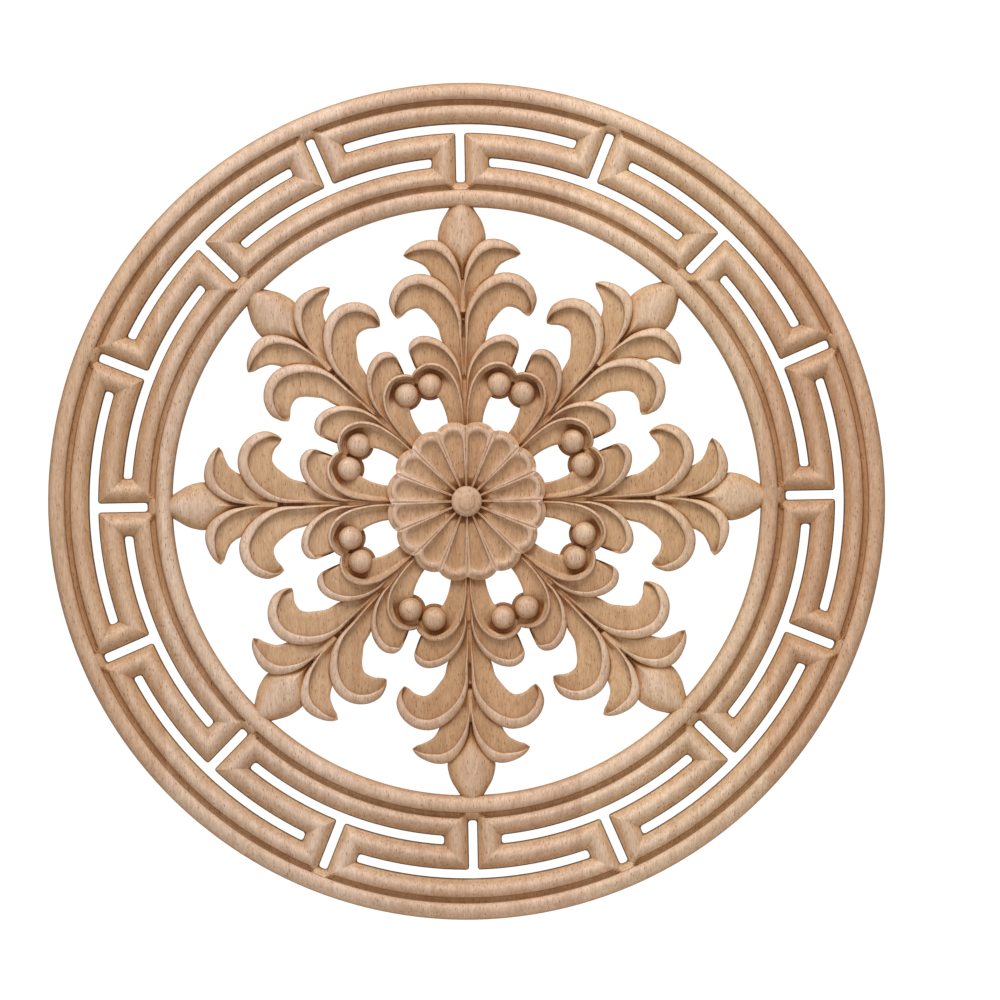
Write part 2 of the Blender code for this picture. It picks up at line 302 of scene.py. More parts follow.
# The leaves: each half spray has four acanthus leaves that overlap from the foot up, carved
# with a raised rim along the upper side and a hollow scooped out below it. A station of a leaf
# gives x and z of its rim side and then of its lower edge.
TOP_LEAF = (
    (0.05, 67.8, 0.9, 67.8),
    (0.05, 73.2, 3.3, 73.2),
    (0.35, 78.8, 7.4, 78.4),
    (1.5, 85.2, 10.7, 80.2),
    (4.7, 91.0, 12.0, 82.5),
    (8.6, 93.6, 13.5, 84.5),
    (12.9, 93.8, 15.4, 85.7),
    (17.3, 92.2, 17.7, 86.7),
    (19.9, 90.3, 19.4, 87.2),
    (21.1, 88.5, 21.0, 88.3),
)
HOOK_LEAF = (
    (0.1, 45.2, 1.4, 45.2),
    (0.12, 51.2, 4.6, 52.0),
    (0.5, 59.1, 7.7, 57.3),
    (0.65, 66.6, 9.1, 62.3),
    (2.9, 73.2, 11.2, 65.3),
    (7.4, 78.6, 13.5, 68.0),
    (13.6, 81.7, 15.7, 69.4),
    (20.0, 80.9, 17.9, 69.3),
    (24.6, 77.2, 20.0, 68.4),
    (26.5, 72.2, 21.5, 67.1),
    (25.4, 68.0, 22.6, 66.3),
    (23.7, 65.9, 23.5, 65.9),
)
LOW_LEAF = (
    (0.05, 33.5, 1.0, 33.5),
    (0.7, 40.8, 2.1, 40.5),
    (0.9, 45.1, 5.0, 43.7),
    (2.5, 50.7, 7.9, 46.2),
    (6.1, 55.9, 10.7, 47.6),
    (10.7, 58.9, 12.9, 48.2),
    (15.6, 59.5, 14.7, 48.2),
    (19.0, 57.5, 15.9, 48.1),
    (19.8, 54.6, 16.6, 47.9),
    (18.9, 51.6, 17.0, 47.8),
    (17.9, 49.0, 17.3, 47.7),
)
SCROLL_LEAF = (
    (0.2, 22.5, 5.7, 22.5),
    (0.4, 30.1, 6.5, 30.1),
    (0.9, 35.8, 8.3, 35.4),
    (2.4, 42.3, 10.1, 38.1),
    (5.4, 47.1, 11.4, 39.9),
    (9.3, 49.6, 12.5, 41.0),
    (13.3, 49.9, 14.0, 41.5),
    (16.5, 48.4, 15.4, 41.7),
    (18.5, 46.2, 16.4, 42.0),
    (19.1, 43.9, 17.2, 42.4),
)
LEAF_STEPS = 4
LEAF_RIM_WIDTH = 4.0
LOW_RIM_WIDTH = 2.8
SCROLL_RIM_WIDTH = 1.2
TOP_FOOT_RIM = 0.55
HOOK_FOOT_RIM = 1.0
LOW_FOOT_RIM = 0.8
TIP_RIM = 0.5
RIM_SHARE = 0.45
RIM_GROWS = (0.12, 0.55)
RIM_CREST = 0.75
RIM_ACROSS = (0.0, 0.05, 0.15, 0.3, 0.48, 0.64, 0.75, 0.86, 0.94, 1.0)
HOLLOW_ACROSS = (0.06, 0.2, 0.45, 0.7, 0.88, 0.95, 1.0)
FOOT_HEIGHT = 11.2
STEM_HEIGHT = 12.5
LEAF_HEIGHT = 13.2
TIP_HEIGHT = 11.2
RIM_SIDE_DROP = 2.0
HOLLOW_DEPTH = 2.1
SCROLL_DEPTH = 4.8
NARROW_DEPTH = 1.0
HOLLOW_RISE = 0.35
LIP_DROP = 0.5
DEPTH_PER_WIDTH = 0.45
NARROW_WIDTH = 3.0
LEAST_WIDTH = 0.01
STEEPEST_SIDE = 1.3
# Shares of a leaf's length, or for the last two of its hollow's width, where a change happens.
FOOT_RISES = (0.02, 0.2)
LEAF_RISES = (0.1, 0.5)
TIP_FALLS = (0.7, 1.0)
HOLLOW_DEEPENS = (0.3, 0.5)
FLOOR_RISES = (0.2, 0.9)
LIP_FALLS = (0.86, 1.0)


def through_stations(stations, steps):
    """The stations with more between them, on a smooth curve through them all."""
    curve = []
    last = len(stations) - 1
    for index in range(last):
        before, start = stations[max(index - 1, 0)], stations[index]
        end, after = stations[index + 1], stations[min(index + 2, last)]
        for step in range(steps):
            t = step / steps
            curve.append([
                0.5 * (2 * b + (c - a) * t + (2 * a - 5 * b + 4 * c - d) * t ** 2
                       + (3 * b - a - 3 * c + d) * t ** 3)
                for a, b, c, d in zip(before, start, end, after)
            ])
    curve.append(list(stations[last]))
    return curve


def leaf(stations, foot_rim, rim_width, rim_ends, deepest, drop_share, depth):
    """One leaf: a rounded rim along its upper side and a scooped hollow below it.

    Its rim goes from foot_rim to rim_width and thins out within rim_ends, as shares of its
    length. Its hollow reaches its depth, at most deepest, within drop_share of its width.
    """
    lines = through_stations(stations, LEAF_STEPS)
    rim_rows = len(RIM_ACROSS)

    def surface(column, row):
        along = column / (len(lines) - 1)
        rim_x, rim_z, edge_x, edge_z = lines[column]
        width = max(hypot(edge_x - rim_x, edge_z - rim_z), LEAST_WIDTH)
        rim = blend(foot_rim, rim_width, fade(along, *RIM_GROWS))
        rim = min(blend(rim, TIP_RIM, fade(along, *rim_ends)), width * RIM_SHARE)
        top = blend(FOOT_HEIGHT, STEM_HEIGHT, fade(along, *FOOT_RISES))
        top = blend(top, LEAF_HEIGHT, fade(along, *LEAF_RISES))
        top = blend(top, TIP_HEIGHT, fade(along, *TIP_FALLS))
        hollow = width - rim
        narrow = min(width / NARROW_WIDTH, 1.0)
        full_depth = blend(HOLLOW_DEPTH, deepest, fade(along, *HOLLOW_DEEPENS))
        scoop = min(NARROW_DEPTH + DEPTH_PER_WIDTH * hollow, full_depth)
        scoop *= narrow
        inner_drop = min(scoop, STEEPEST_SIDE * rim)
        if row < rim_rows:
            share = RIM_ACROSS[row]
            offset = rim * share
            outer_drop = min(RIM_SIDE_DROP, STEEPEST_SIDE * rim)
            drop = outer_drop if share < RIM_CREST else inner_drop
            height = top - drop * (1.0 - bead_rise(share, RIM_CREST))
        else:
            share = HOLLOW_ACROSS[row - rim_rows]
            offset = rim + hollow * share
            height = top - blend(inner_drop, scoop, fade(share, 0.0, drop_share))
            height += HOLLOW_RISE * narrow * fade(share, *FLOOR_RISES)
            height -= LIP_DROP * narrow * fade(share, *LIP_FALLS)
        across = offset / width
        return place(blend(rim_x, edge_x, across), blend(rim_z, edge_z, across), height)

    return slab(len(lines) - 1, rim_rows + len(HOLLOW_ACROSS) - 1, surface, depth)


leaves = (
    (TOP_LEAF, TOP_FOOT_RIM, LEAF_RIM_WIDTH, (0.8, 1.0), HOLLOW_DEPTH, 0.3),
    (HOOK_LEAF, HOOK_FOOT_RIM, LEAF_RIM_WIDTH, (0.84, 1.0), HOLLOW_DEPTH, 0.3),
    (LOW_LEAF, LOW_FOOT_RIM, LOW_RIM_WIDTH, (0.66, 0.86), HOLLOW_DEPTH, 0.3),
    (SCROLL_LEAF, LOW_FOOT_RIM, SCROLL_RIM_WIDTH, (0.85, 1.0), SCROLL_DEPTH, 0.22),
)
for index, shape in enumerate(leaves):
    tile_shapes.append(leaf(*shape, past_back(index + 1)))

# The stem: the narrow floor of wood that shows between the rims of the two mirrored halves,
# with dimples between the leaves' feet. A wider base below it closes the gaps beside them.
# The stem's rows give z and height.
STEM_HALF = 0.6
STEM_BASE = 2.4
STEM_BASE_HEIGHT = 9.7
STEM_ACROSS = (-SPARE, 0.0, STEM_HALF, STEM_BASE)
STEM = (
    (20.0, 9.6),
    (27.6, 9.8),
    (30.5, 10.9),
    (33.4, 11.1),
    (42.6, 10.9),
    (43.6, 10.0),
    (44.9, 10.0),
    (46.2, 10.8),
    (56.0, 10.8),
    (57.8, 10.4),
    (59.0, 9.2),
    (64.2, 9.2),
    (65.2, 10.8),
    (66.0, 9.1),
    (67.0, 9.1),
    (68.0, 11.9),
    (69.6, 11.6),
    (75.5, 12.0),
    (78.6, 11.2),
    (79.8, 9.2),
    (81.6, 9.2),
    (84.0, 9.6),
    (90.0, 9.8),
)


def stem(depth):
    """A strip of wood on the spray's axis that falls to its base beside it."""

    def surface(column, row):
        x = STEM_ACROSS[column]
        z, height = STEM[row]
        if x > STEM_HALF:
            height = min(height, STEM_BASE_HEIGHT)
        return place(x, z, height)

    return slab(len(STEM_ACROSS) - 1, len(STEM) - 1, surface, depth)


tile_shapes.append(stem(past_back(5)))

# The bud: the pointed head of a spray, softly ridged along its middle, whose tip runs up onto
# the inner bead and ties the spray to the ring. Its rows give z and half its width.
BUD = (
    (80.0, 0.6),
    (84.0, 1.2),
    (87.0, 4.3),
    (90.6, 7.5),
    (94.1, 8.6),
    (97.3, 8.2),
    (100.2, 7.25),
    (102.9, 5.7),
    (105.3, 4.2),
    (107.5, 2.5),
    (109.3, 0.8),
)
BUD_ACROSS = (-1.0, -0.4, 0.0, 0.15, 0.35, 0.55, 0.72, 0.86, 0.94, 0.985, 1.0)
BUD_RIDGE = 13.0
BUD_FOOT_RIDGE = 10.6
BUD_SIDE = 9.0
BUD_FOOT_SIDE = 9.2
BUD_BULGE = 0.95
BUD_TIP_DROP = 0.8
BUD_LEAST_HALF = 0.3
# Where along z the bud's section changes.
BULGE_GROWS = (86.0, 94.0)
RIDGE_RISES = (79.0, 91.0)
TIP_DROPS = (102.0, 109.0)
SIDE_SINKS = (86.0, 93.0)


def bud(depth):
    """The whole bud, both sides of its ridge."""
    rows = through_stations(BUD, LEAF_STEPS)

    def surface(column, row):
        z, half = rows[row]
        half = max(half, BUD_LEAST_HALF)
        across = BUD_ACROSS[column]
        roof = 1.0 - abs(across)
        rise = blend(roof, dome(0.5 + abs(across) / 2), BUD_BULGE * fade(z, *BULGE_GROWS))
        ridge = blend(BUD_FOOT_RIDGE, BUD_RIDGE, fade(z, *RIDGE_RISES))
        ridge -= BUD_TIP_DROP * fade(z, *TIP_DROPS)
        side = blend(BUD_FOOT_SIDE, BUD_SIDE, fade(z, *SIDE_SINKS))
        return place(half * across, z, blend(side, ridge, rise))

    return slab(len(BUD_ACROSS) - 1, len(rows) - 1, surface, depth)


tile_shapes.append(bud(past_back(6)))

# The balls: a round knob in the curl of each scroll leaf, on a low round skirt that touches
# the skirt of the next spray and ties the two together.
BALL_X = 12.4
BALL_Z = 41.9
BALL_RADIUS = 4.4
BALL_TOP = 13.6
SKIRT_RADIUS = 5.5
SKIRT_TOP = 8.6
SKIRT_ROUND = 0.8
BALL_SEGMENTS = 28
BALL_RINGS = 18
SKIRT_SEGMENTS = 32
SKIRT_ROUND_STEPS = 3


def face_front(shape, centre):
    """Turn a shape made on the Z axis to face the front, and move it to its place."""
    facing = Matrix.Rotation(pi / 2, 3, "X")
    bmesh.ops.rotate(shape, verts=shape.verts[:], cent=(0, 0, 0), matrix=facing)
    bmesh.ops.translate(shape, vec=centre, verts=shape.verts[:])
    return shape


def ball():
    shape = bmesh.new()
    bmesh.ops.create_uvsphere(shape, u_segments=BALL_SEGMENTS, v_segments=BALL_RINGS,
                              radius=BALL_RADIUS * MM)
    return face_front(shape, place(BALL_X, BALL_Z, BALL_TOP - BALL_RADIUS))


def skirt(depth):
    """The round post below a ball, with a rounded top edge."""
    shape = bmesh.new()
    length = SKIRT_TOP + depth
    bmesh.ops.create_cone(shape, cap_ends=True, segments=SKIRT_SEGMENTS, depth=length * MM,
                          radius1=SKIRT_RADIUS * MM, radius2=SKIRT_RADIUS * MM)
    top_edges = [e for e in shape.edges if all(v.co.z > 0 for v in e.verts)]
    bmesh.ops.bevel(shape, geom=top_edges, offset=SKIRT_ROUND * MM, offset_type="OFFSET",
                    segments=SKIRT_ROUND_STEPS, profile=0.5, affect="EDGES", material=-1)
    return face_front(shape, place(BALL_X, BALL_Z, SKIRT_TOP - length / 2))


tile_shapes.append(skirt(past_back(7)))
tile_shapes.append(ball())

# The rosette: sixteen petals with thin double rims round cove hollows, and a turned boss in
# the middle with a stepped top, ringed by a small moat. The tile holds one petal.
PETAL_STEP = HALF_STEP
PETAL_END = 28.8
PETAL_NOTCH = 27.2
COVE_CENTRE = 22.1
COVE_END_RADIUS = 3.2
COVE_ROOT = 7.2
COVE_ROOT_HALF = 0.95
PETAL_ROOT = 5.3
PETAL_RIM = 13.4
PETAL_ROOT_RIM = 12.2
PETAL_FLOOR = 11.6
PETAL_ROOT_FLOOR = 9.3
PETAL_EDGE = 11.7
RIM_INNER_STEP = 1.0
RIM_GROOVE = 0.35
BEAD_CREST_SHARE = 0.3
BEAD_FOOT_SHARE = 0.62
BEAD_FALL = 1.1
SIDE_CREST = 0.53
PETAL_END_TURN = 0.66
COVE_ACROSS = (0.0, 0.4, 0.7, 0.88, 0.96, 1.0)
RIM_OUT = (0.05, 0.15, 0.3, 0.42, 0.53, 0.62, 0.8, 1.0)
PETAL_SIDE_ROWS = 10
PETAL_END_ROWS = 12
LEAST_COVE_HALF = 0.4
NARROW_GROOVE_SHARE = 0.4
EDGE_CURVE = 1.5
# Radii between which the petal's section changes.
RIM_CLIMBS = (7.0, 14.0)
COVE_CLIMBS = (6.3, 7.8)
GROOVE_DEEPENS = (12.0, 22.0)


def petal(depth):
    """One petal: columns run round its outline, rows from its middle line to its border."""
    axis = PETAL_STEP / 2
    outline = []
    for step in range(PETAL_SIDE_ROWS):
        outline.append(("side", -1, blend(PETAL_ROOT, COVE_CENTRE, step / PETAL_SIDE_ROWS)))
    for step in range(PETAL_END_ROWS + 1):
        outline.append(("end", 0, blend(-pi / 2, pi / 2, step / PETAL_END_ROWS)))
    for step in range(PETAL_SIDE_ROWS - 1, -1, -1):
        outline.append(("side", 1, blend(PETAL_ROOT, COVE_CENTRE, step / PETAL_SIDE_ROWS)))

    def polar(radius, angle):
        return Vector((radius * sin(angle), radius * cos(angle)))

    def lines(kind, side, amount):
        """Middle, cove edge and border points of one line across the petal."""
        if kind == "side":
            half = blend(COVE_ROOT_HALF, COVE_END_RADIUS,
                         (amount - COVE_ROOT) / (COVE_CENTRE - COVE_ROOT))
            middle = polar(amount, axis)
            edge = polar(amount, axis + side * asin(max(half, LEAST_COVE_HALF) / amount))
            return middle, edge, polar(amount, axis + side * axis)
        middle = polar(COVE_CENTRE, axis)
        outward = polar(1.0, axis)
        sideways = Vector((outward.y, -outward.x))
        direction = outward * cos(amount) + sideways * sin(amount)
        edge = middle + direction * COVE_END_RADIUS
        turn = amount / (pi / 2)
        swing = abs(turn)
        if swing > PETAL_END_TURN:
            down = (swing - PETAL_END_TURN) / (1.0 - PETAL_END_TURN)
            radius = blend(PETAL_NOTCH, COVE_CENTRE, down)
            border = polar(radius, axis + axis * (1 if turn > 0 else -1))
        else:
            share = swing / PETAL_END_TURN
            radius = PETAL_NOTCH + (PETAL_END - PETAL_NOTCH) * (1.0 - share ** 2)
            border = polar(radius, axis + axis * share * (1 if turn > 0 else -1))
        return middle, edge, border

    def surface(column, row):
        kind, side, amount = outline[column]
        middle, edge, border = lines(kind, side, amount)
        rim_top = blend(PETAL_ROOT_RIM, PETAL_RIM, fade(middle.length, *RIM_CLIMBS))
        if row < len(COVE_ACROSS):
            share = COVE_ACROSS[row]
            point = middle.lerp(edge, share)
            floor = blend(PETAL_ROOT_FLOOR, PETAL_FLOOR, fade(point.length, *COVE_CLIMBS))
            height = blend(rim_top - RIM_INNER_STEP, floor, sqrt(1.0 - share ** 2))
            return place(point.x, point.y, height)
        share = RIM_OUT[row - len(COVE_ACROSS)]
        point = edge.lerp(border, share)
        if kind == "end" and abs(amount / (pi / 2)) <= PETAL_END_TURN:
            if share < BEAD_FOOT_SHARE:
                rise = bead_rise(share / BEAD_FOOT_SHARE, BEAD_CREST_SHARE / BEAD_FOOT_SHARE)
                fall = RIM_INNER_STEP if share < BEAD_CREST_SHARE else BEAD_FALL
                return place(point.x, point.y, rim_top - fall * (1.0 - rise))
            past = (share - BEAD_FOOT_SHARE) / (1.0 - BEAD_FOOT_SHARE)
            height = blend(rim_top - BEAD_FALL, PETAL_EDGE, past ** EDGE_CURVE)
            return place(point.x, point.y, height)
        rise = bead_rise(share, SIDE_CREST)
        wide = fade(point.length, *GROOVE_DEEPENS)
        groove = RIM_GROOVE * (NARROW_GROOVE_SHARE + (1.0 - NARROW_GROOVE_SHARE) * wide)
        low = RIM_INNER_STEP if share < SIDE_CREST else groove
        return place(point.x, point.y, rim_top - low * (1.0 - rise))

    rows = len(COVE_ACROSS) + len(RIM_OUT) - 1
    return slab(len(outline) - 1, rows, surface, depth)


tile_shapes.append(petal(past_back(8)))

# The boss's rows give radius and height, and its highest one is the front of the board.
BOSS_PROFILE = (
    (0.0, 14.9),
    (2.3, 15.0),
    (2.9, 14.7),
    (3.05, 14.3),
    (3.3, 14.15),
    (3.9, 14.1),
    (4.6, 13.75),
    (5.1, 13.2),
    (5.45, 12.4),
    (5.6, 11.0),
    (5.7, 9.1),
    (6.4, 9.0),
    (7.2, 9.0),
)
BOSS_SWEEP = 6


def boss(depth):
    """A sector of the boss and its moat, a little wider than the tile."""

    def surface(column, row):
        radius, height = BOSS_PROFILE[row]
        height *= DISC_THICKNESS / BOSS_PROFILE[1][1]
        angle = blend(-PETAL_STEP / 2, PETAL_STEP * 1.5, column / BOSS_SWEEP)
        return place(radius * sin(angle), radius * cos(angle), height)

    return slab(BOSS_SWEEP, len(BOSS_PROFILE) - 1, surface, depth)


tile_shapes.append(boss(past_back(9)))

# One piece of wood: the shapes of a half spray are fused, trimmed to the tile between the
# spray's axis and the line midway to the next one, mirrored, turned round and welded. Every
# point stores how shut in it is, for the painted shade in the wood's corners.
FLAT_ENOUGH = radians(0.6)
SHARP = radians(32.0)
# How many rays feel for wood in front of a point, how far they reach and where they start.
RAYS = 40
REACH = 4.5
LIFT = 0.05


def to_object(name, shape):
    """A new object in the scene with the shape as its mesh. The shape is used up."""
    mesh = bpy.data.meshes.new(name)
    shape.to_mesh(mesh)
    shape.free()
    item = bpy.data.objects.new(name, mesh)
    bpy.context.scene.collection.objects.link(item)
    return item


def fuse(shapes):
    """Boolean union of the overlapping shapes, as one bmesh."""
    pieces = [to_object("tile_%d" % index, shape) for index, shape in enumerate(shapes)]
    joined = bpy.data.collections.new("joined")
    bpy.context.scene.collection.children.link(joined)
    for piece in pieces[1:]:
        joined.objects.link(piece)
    join = pieces[0].modifiers.new("Join", "BOOLEAN")
    join.operation = "UNION"
    join.solver = "EXACT"
    join.use_self = True
    join.operand_type = "COLLECTION"
    join.collection = joined
    view = bpy.context.evaluated_depsgraph_get()
    tile = bmesh.new()
    tile.from_mesh(pieces[0].evaluated_get(view).to_mesh())
    for piece in pieces:
        bpy.data.objects.remove(piece)
    bpy.data.collections.remove(joined)
    return tile


def cut_flat(shape, normal):
    """Remove what lies past a plane through the origin and leave that side open."""
    everything = shape.verts[:] + shape.edges[:] + shape.faces[:]
    bmesh.ops.bisect_plane(shape, geom=everything, dist=WELD, plane_co=(0, 0, 0),
                           plane_no=normal, clear_outer=True)
    plane = Vector(normal).normalized()
    walls = [f for f in shape.faces if all(abs(v.co.dot(plane)) < WELD for v in f.verts)]
    bmesh.ops.delete(shape, geom=walls, context="FACES")


def has_twin(face):
    """Whether a face folds back on another one with the same corners."""
    corners = set(face.verts)
    beside = {other for edge in face.edges for other in edge.link_faces if other != face}
    return any(set(other.verts) == corners for other in beside)


def whole_disc(tile):
    """The tile mirrored, turned round the centre and welded."""
    disc = tile.copy()
    bmesh.ops.mirror(disc, geom=disc.verts[:] + disc.edges[:] + disc.faces[:], axis="X",
                     matrix=Matrix.Identity(4), merge_dist=WELD)
    bmesh.ops.recalc_face_normals(disc, faces=disc.faces[:])
    bmesh.ops.spin(disc, geom=disc.verts[:] + disc.edges[:] + disc.faces[:], cent=(0, 0, 0),
                   axis=(0, 1, 0), angle=2 * pi * (SPRAYS - 1) / SPRAYS, steps=SPRAYS - 1,
                   use_duplicate=True)
    bmesh.ops.remove_doubles(disc, verts=disc.verts[:], dist=WELD)
    bmesh.ops.delete(disc, geom=[f for f in disc.faces if has_twin(f)], context="FACES")
    loose = [edge for edge in disc.edges if edge.is_wire]
    bmesh.ops.delete(disc, geom=loose, context="EDGES")
    bmesh.ops.recalc_face_normals(disc, faces=disc.faces[:])
    return disc


def sky_directions(count):
    """Evenly spread directions over a half sphere, more of them near its pole."""
    golden = pi * (3.0 - sqrt(5.0))
    found = []
    for index in range(count):
        rise = sqrt(1.0 - (index + 0.5) / count)
        spread = sqrt(1.0 - rise * rise)
        found.append(Vector((spread * cos(index * golden), spread * sin(index * golden), rise)))
    return found


# The recess drives painted shade: points that little light reaches are painted browner.
def mark_recesses(tile, disc):
    """Store how shut in each point of the tile is, from 0 in the open to 1 in a deep corner."""
    recess = tile.verts.layers.float.new("recess")
    tree = BVHTree.FromBMesh(disc)
    directions = sky_directions(RAYS)
    tile.normal_update()
    for vert in tile.verts:
        normal = vert.normal
        turn = normal.to_track_quat("Z", "Y")
        start = vert.co + normal * LIFT * MM
        blocked = 0.0
        for direction in directions:
            distance = tree.ray_cast(start, turn @ direction, REACH * MM)[3]
            if distance is not None:
                blocked += 1.0 - distance / (REACH * MM)
        vert[recess] = blocked / RAYS


tile = fuse(tile_shapes)
cut_flat(tile, (0, 1, 0))
back = [edge for edge in tile.edges if edge.is_boundary]
bmesh.ops.triangle_fill(tile, edges=back, use_beauty=True, normal=(0, 1, 0))
cut_flat(tile, (-1, 0, 0))
cut_flat(tile, (cos(HALF_STEP), 0, -sin(HALF_STEP)))
bmesh.ops.dissolve_limit(tile, angle_limit=FLAT_ENOUGH, verts=tile.verts[:], edges=tile.edges[:])
bmesh.ops.triangulate(tile, faces=tile.faces[:], quad_method="LONG_EDGE")
rough_disc = whole_disc(tile)
mark_recesses(tile, rough_disc)
rough_disc.free()
disc = whole_disc(tile)
tile.free()
medallion = to_object("carved_medallion_wood", disc)
medallion.data.shade_smooth()
medallion.data.set_sharp_from_angle(angle=SHARP)

# The wood: bare sanded beech, never oiled or painted. Upright strips of slightly different
# tone lie side by side, with fine fibre and short dark flecks. The carved front is browner in
# its low places, partly from sanding wear and partly as painted shade, and it has painted
# shade in its deepest places and in its shut-in corners. It is browner on its steep lips.
# The strips give their left edge in millimetres and their tone beside plain beech.
STRIPS = (
    (-200.0, (0.95, 0.88, 0.79)),
    (-110.0, (1.05, 1.06, 1.06)),
    (-67.0, (1.07, 1.08, 1.10)),
    (-43.0, (1.00, 0.97, 0.94)),
    (-17.0, (0.98, 0.92, 0.85)),
    (7.0, (1.01, 0.96, 0.91)),
    (38.0, (1.11, 1.12, 1.08)),
    (70.0, (1.04, 1.03, 0.95)),
    (105.0, (0.97, 0.87, 0.76)),
)
STRIP_SPAN = 400.0
# The colour ramp's tones are scaled by this, to about 1 at most, and the beech is divided by it.
RAMP_SCALE = 0.9
BEECH = (0.625, 0.47, 0.368)
CLOUD_TONE = (0.90, 0.87, 0.84)
GROWTH_TONE = (0.87, 0.83, 0.79)
FIBRE_TONE = (0.79, 0.74, 0.69)
# Low places are browner, partly sanding wear and partly painted shade.
LOW_WEAR_AND_SHADE = (0.85, 0.74, 0.57)
# Painted shade in the deepest places of the carving.
DEEP_SHADE = (0.60, 0.42, 0.27)
FLECK_BROWN = (0.50, 0.34, 0.24)
# Painted shade in shut-in corners, set by the recess attribute.
CORNER_SHADE = (0.94, 0.74, 0.55)
WALL_BROWN = (0.50, 0.41, 0.34)
# Cells of each pattern in a metre along X, Y and Z. All are longest along the fibre, Z.
CLOUD_SCALE = (26.0, 26.0, 12.0)
GROWTH_SCALE = (300.0, 300.0, 45.0)
FIBRE_SCALE = (2100.0, 1500.0, 380.0)
FLECK_SCALE = (1500.0, 900.0, 420.0)
FLECK_SIZE = 0.33
FLECK_EDGE = 0.07
FLECK_STRENGTH = 0.75
# Where the browner tones and the painted shade set in: two by Y in metres, one by recess and
# one by how far the normal's Y is from 0. By the same Y, CARVED tells the carved front from the
# back and the walls.
LOW_PLACES = (-0.0131, -0.0114)
DEEP_PLACES = (-0.0097, -0.0086)
CORNERS = (0.1, 0.5)
STEEP = (0.08, 0.34)
CARVED = (-0.06, 0.0)
ROUGHNESS = (0.55, 0.72)
BUMP_STRENGTH = 0.35
BUMP_HEIGHT = 0.0001


